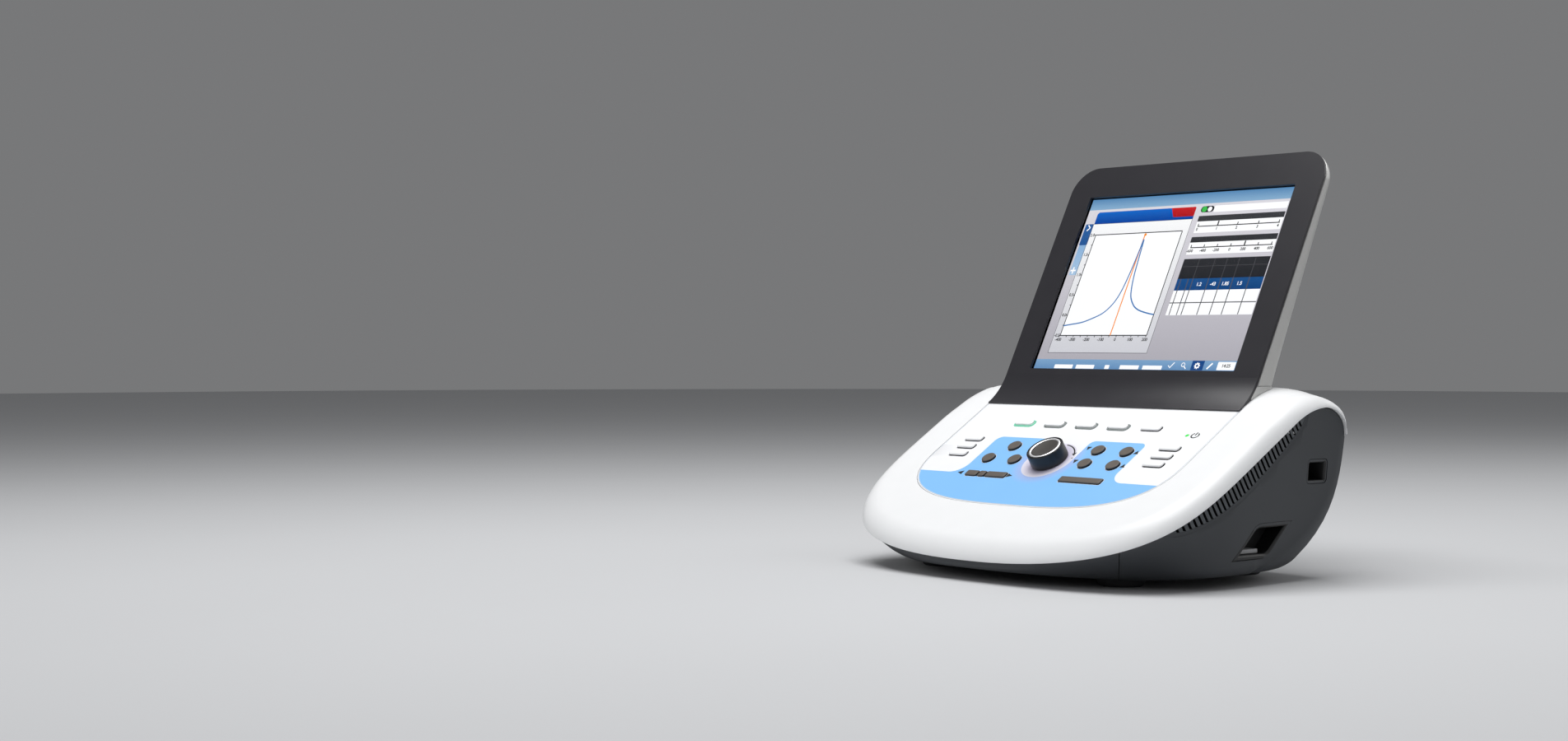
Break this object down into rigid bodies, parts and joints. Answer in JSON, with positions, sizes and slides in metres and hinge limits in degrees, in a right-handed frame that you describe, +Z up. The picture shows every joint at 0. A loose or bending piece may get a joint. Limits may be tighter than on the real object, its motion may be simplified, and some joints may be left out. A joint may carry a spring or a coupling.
{
  "type": "tympanometer",
  "caption": "Desktop tympanometer: wedge console with knob and key panel, vented charcoal body and a fixed leaning touch screen.",
  "frame": {"origin": "middle of the overall box in plan, on the surface the feet stand on", "axes": "+Z up, -Y towards the operator, +X to the operator's right"},
  "size_m": [0.343, 0.2695, 0.3183],
  "materials": {
    "cover_white": "injection-moulded white plastic, semi-gloss",
    "panel_white": "white panel with a printed pale blue field, satin",
    "body_charcoal": "charcoal moulded plastic, fine spark texture",
    "vent_black": "black moulded plastic, satin",
    "recess_black": "black moulded plastic, satin",
    "bezel_charcoal": "blue-charcoal moulded plastic, satin",
    "shell_silver": "silver-grey painted plastic",
    "screen_glass": "clear touch glass, smooth",
    "screen_module": "lit display module",
    "key_white": "white key caps, satin",
    "key_taupe": "warm grey key caps, satin",
    "light_clear": "clear light guide",
    "led_green": "green lamp",
    "knob_black": "black knob, semi-gloss",
    "knob_silver": "bright ring",
    "knob_taupe": "warm grey dished cap",
    "steel": "plain steel",
    "module_aluminium": "cast and folded aluminium cases",
    "board_green": "circuit board",
    "foot_rubber": "black rubber",
    "socket_grey": "light grey socket shell"
  },
  "bodies": {
    "console": {"air_pump": "module_aluminium", "base_tray": "body_charcoal", "cable_recess": "recess_black", "control_panel": "panel_white", "display_back_shell": "shell_silver", "display_bezel": "bezel_charcoal", "display_bracket": "steel", "display_neck": "shell_silver", "encoder_body": "steel", "foot_front_left": "foot_rubber", "foot_front_right": "foot_rubber", "foot_rear_left": "foot_rubber", "foot_rear_right": "foot_rubber", "key_board": "board_green", "lcd_panel": "screen_module", "light_guide": "light_clear", "main_board": "board_green", "port_block": "recess_black", "port_pocket": "recess_black", "power_inlet": "recess_black", "power_led": "led_green", "power_supply": "module_aluminium", "probe_socket": "socket_grey", "rear_panel": "body_charcoal", "side_panel_left": "body_charcoal", "side_panel_right": "body_charcoal", "speaker": "recess_black", "top_cover": "cover_white", "touch_glass": "screen_glass", "vent_grille_left": "vent_black", "vent_grille_right": "vent_black"},
    "knob": {"knob_body": "knob_black", "knob_ring": "knob_silver", "knob_cap": "knob_taupe", "encoder_shaft": "steel"},
    "key_row_1": {"key_row_1": "key_white"},
    "key_row_2": {"key_row_2": "key_white"},
    "key_row_3": {"key_row_3": "key_white"},
    "key_row_4": {"key_row_4": "key_white"},
    "key_row_5": {"key_row_5": "key_white"},
    "key_left_1": {"key_left_1": "key_white"},
    "key_left_2": {"key_left_2": "key_white"},
    "key_left_3": {"key_left_3": "key_white"},
    "key_right_1": {"key_right_1": "key_white"},
    "key_right_2": {"key_right_2": "key_white"},
    "key_right_3": {"key_right_3": "key_white"},
    "key_round_left_1": {"key_round_left_1": "key_taupe"},
    "key_round_left_2": {"key_round_left_2": "key_taupe"},
    "key_round_left_3": {"key_round_left_3": "key_taupe"},
    "key_round_right_1": {"key_round_right_1": "key_taupe"},
    "key_round_right_2": {"key_round_right_2": "key_taupe"},
    "key_round_right_3": {"key_round_right_3": "key_taupe"},
    "key_round_right_4": {"key_round_right_4": "key_taupe"},
    "key_start_left": {"key_start_left": "key_taupe"},
    "key_start_middle": {"key_start_middle": "key_taupe"},
    "key_start_right": {"key_start_right": "key_taupe"},
    "key_present": {"key_present": "key_taupe"}
  },
  "joints": [
    {"name": "knob_turn", "type": "hinge", "parent": "console", "child": "knob", "pos_m": [0, -0.0422, 0.08437], "axis": [0, -0.5307, 0.8476], "continuous": true},
    {"name": "key_row_1_press", "type": "slide", "parent": "console", "child": "key_row_1", "axis": [0, 0.5307, -0.8476], "range_m": [0, 0.0012], "stiffness_N_per_m": 300},
    {"name": "key_row_2_press", "type": "slide", "parent": "console", "child": "key_row_2", "axis": [0, 0.5307, -0.8476], "range_m": [0, 0.0012], "stiffness_N_per_m": 300},
    {"name": "key_row_3_press", "type": "slide", "parent": "console", "child": "key_row_3", "axis": [0, 0.5307, -0.8476], "range_m": [0, 0.0012], "stiffness_N_per_m": 300},
    {"name": "key_row_4_press", "type": "slide", "parent": "console", "child": "key_row_4", "axis": [0, 0.5307, -0.8476], "range_m": [0, 0.0012], "stiffness_N_per_m": 300},
    {"name": "key_row_5_press", "type": "slide", "parent": "console", "child": "key_row_5", "axis": [0, 0.5307, -0.8476], "range_m": [0, 0.0012], "stiffness_N_per_m": 300},
    {"name": "key_left_1_press", "type": "slide", "parent": "console", "child": "key_left_1", "axis": [0, 0.5307, -0.8476], "range_m": [0, 0.0012], "stiffness_N_per_m": 300},
    {"name": "key_left_2_press", "type": "slide", "parent": "console", "child": "key_left_2", "axis": [0, 0.5307, -0.8476], "range_m": [0, 0.0012], "stiffness_N_per_m": 300},
    {"name": "key_left_3_press", "type": "slide", "parent": "console", "child": "key_left_3", "axis": [0, 0.5307, -0.8476], "range_m": [0, 0.0012], "stiffness_N_per_m": 300},
    {"name": "key_right_1_press", "type": "slide", "parent": "console", "child": "key_right_1", "axis": [0, 0.5307, -0.8476], "range_m": [0, 0.0012], "stiffness_N_per_m": 300},
    {"name": "key_right_2_press", "type": "slide", "parent": "console", "child": "key_right_2", "axis": [0, 0.5307, -0.8476], "range_m": [0, 0.0012], "stiffness_N_per_m": 300},
    {"name": "key_right_3_press", "type": "slide", "parent": "console", "child": "key_right_3", "axis": [0, 0.5307, -0.8476], "range_m": [0, 0.0012], "stiffness_N_per_m": 300},
    {"name": "key_round_left_1_press", "type": "slide", "parent": "console", "child": "key_round_left_1", "axis": [0, 0.5307, -0.8476], "range_m": [0, 0.0012], "stiffness_N_per_m": 300},
    {"name": "key_round_left_2_press", "type": "slide", "parent": "console", "child": "key_round_left_2", "axis": [0, 0.5307, -0.8476], "range_m": [0, 0.0012], "stiffness_N_per_m": 300},
    {"name": "key_round_left_3_press", "type": "slide", "parent": "console", "child": "key_round_left_3", "axis": [0, 0.5307, -0.8476], "range_m": [0, 0.0012], "stiffness_N_per_m": 300},
    {"name": "key_round_right_1_press", "type": "slide", "parent": "console", "child": "key_round_right_1", "axis": [0, 0.5307, -0.8476], "range_m": [0, 0.0012], "stiffness_N_per_m": 300},
    {"name": "key_round_right_2_press", "type": "slide", "parent": "console", "child": "key_round_right_2", "axis": [0, 0.5307, -0.8476], "range_m": [0, 0.0012], "stiffness_N_per_m": 300},
    {"name": "key_round_right_3_press", "type": "slide", "parent": "console", "child": "key_round_right_3", "axis": [0, 0.5307, -0.8476], "range_m": [0, 0.0012], "stiffness_N_per_m": 300},
    {"name": "key_round_right_4_press", "type": "slide", "parent": "console", "child": "key_round_right_4", "axis": [0, 0.5307, -0.8476], "range_m": [0, 0.0012], "stiffness_N_per_m": 300},
    {"name": "key_start_left_press", "type": "slide", "parent": "console", "child": "key_start_left", "axis": [0, 0.5307, -0.8476], "range_m": [0, 0.0012], "stiffness_N_per_m": 300},
    {"name": "key_start_middle_press", "type": "slide", "parent": "console", "child": "key_start_middle", "axis": [0, 0.5307, -0.8476], "range_m": [0, 0.0012], "stiffness_N_per_m": 300},
    {"name": "key_start_right_press", "type": "slide", "parent": "console", "child": "key_start_right", "axis": [0, 0.5307, -0.8476], "range_m": [0, 0.0012], "stiffness_N_per_m": 300},
    {"name": "key_present_press", "type": "slide", "parent": "console", "child": "key_present", "axis": [0, 0.5307, -0.8476], "range_m": [0, 0.0012], "stiffness_N_per_m": 300}
  ]
}
